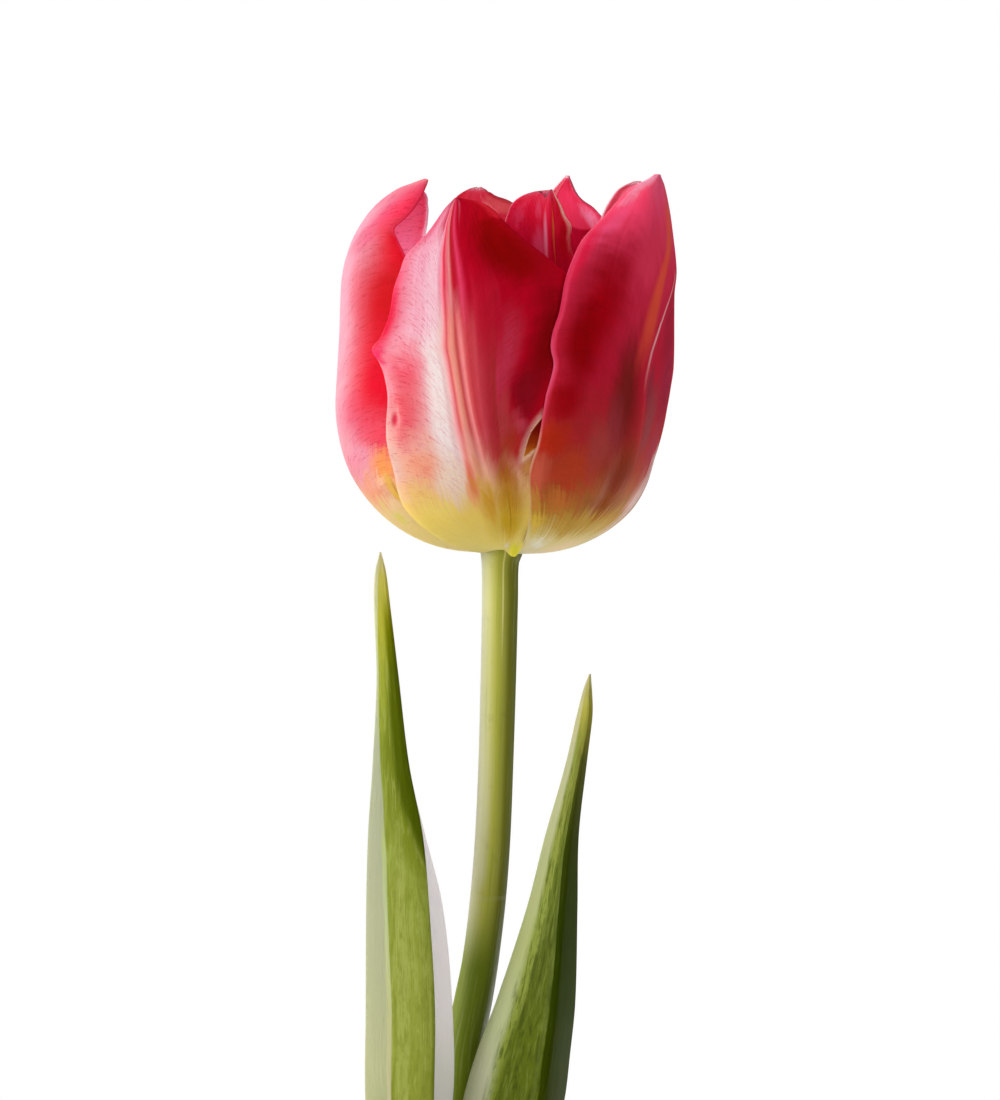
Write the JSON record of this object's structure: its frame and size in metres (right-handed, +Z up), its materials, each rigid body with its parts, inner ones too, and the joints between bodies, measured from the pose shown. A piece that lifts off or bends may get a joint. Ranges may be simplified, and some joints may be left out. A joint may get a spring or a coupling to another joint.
{
  "type": "potted tulip",
  "caption": "Single cup-shaped tulip bloom of overlapping petals on a bowed stem between long folded leaves, growing from a bulb in a plain clay pot of soil.",
  "frame": {"origin": "centre of the pot's foot on the surface that it stands on", "axes": "+Z up along the pot's axis, -Y towards the front of the plant, +X to the right as seen from the front"},
  "size_m": [0.113, 0.113, 0.3149],
  "materials": {
    "clay": "unglazed terracotta, matt",
    "soil": "damp crumbly potting compost",
    "bulb_skin": "papery brown skin",
    "stem": "waxy, satin",
    "leaf": "waxy with a pale bloom, satin",
    "petal_pink": "silky, satin",
    "petal_red": "silky, satin",
    "pistil": "waxy, satin",
    "stamen": "powdery, matt"
  },
  "bodies": {
    "root": {"pot": "clay", "soil": "soil", "bulb": "bulb_skin", "stem": "stem", "leaf_left": "leaf", "leaf_right": "leaf", "petal_left": "petal_pink", "petal_front": "petal_pink", "petal_right": "petal_red", "petal_right_rear": "petal_red", "petal_rear_right": "petal_red", "petal_rear_left": "petal_red", "petal_rear_inner": "petal_red", "pistil": "pistil", "stamen_1": "stamen", "stamen_2": "stamen", "stamen_3": "stamen", "stamen_4": "stamen", "stamen_5": "stamen", "stamen_6": "stamen"}
  },
  "joints": []
}
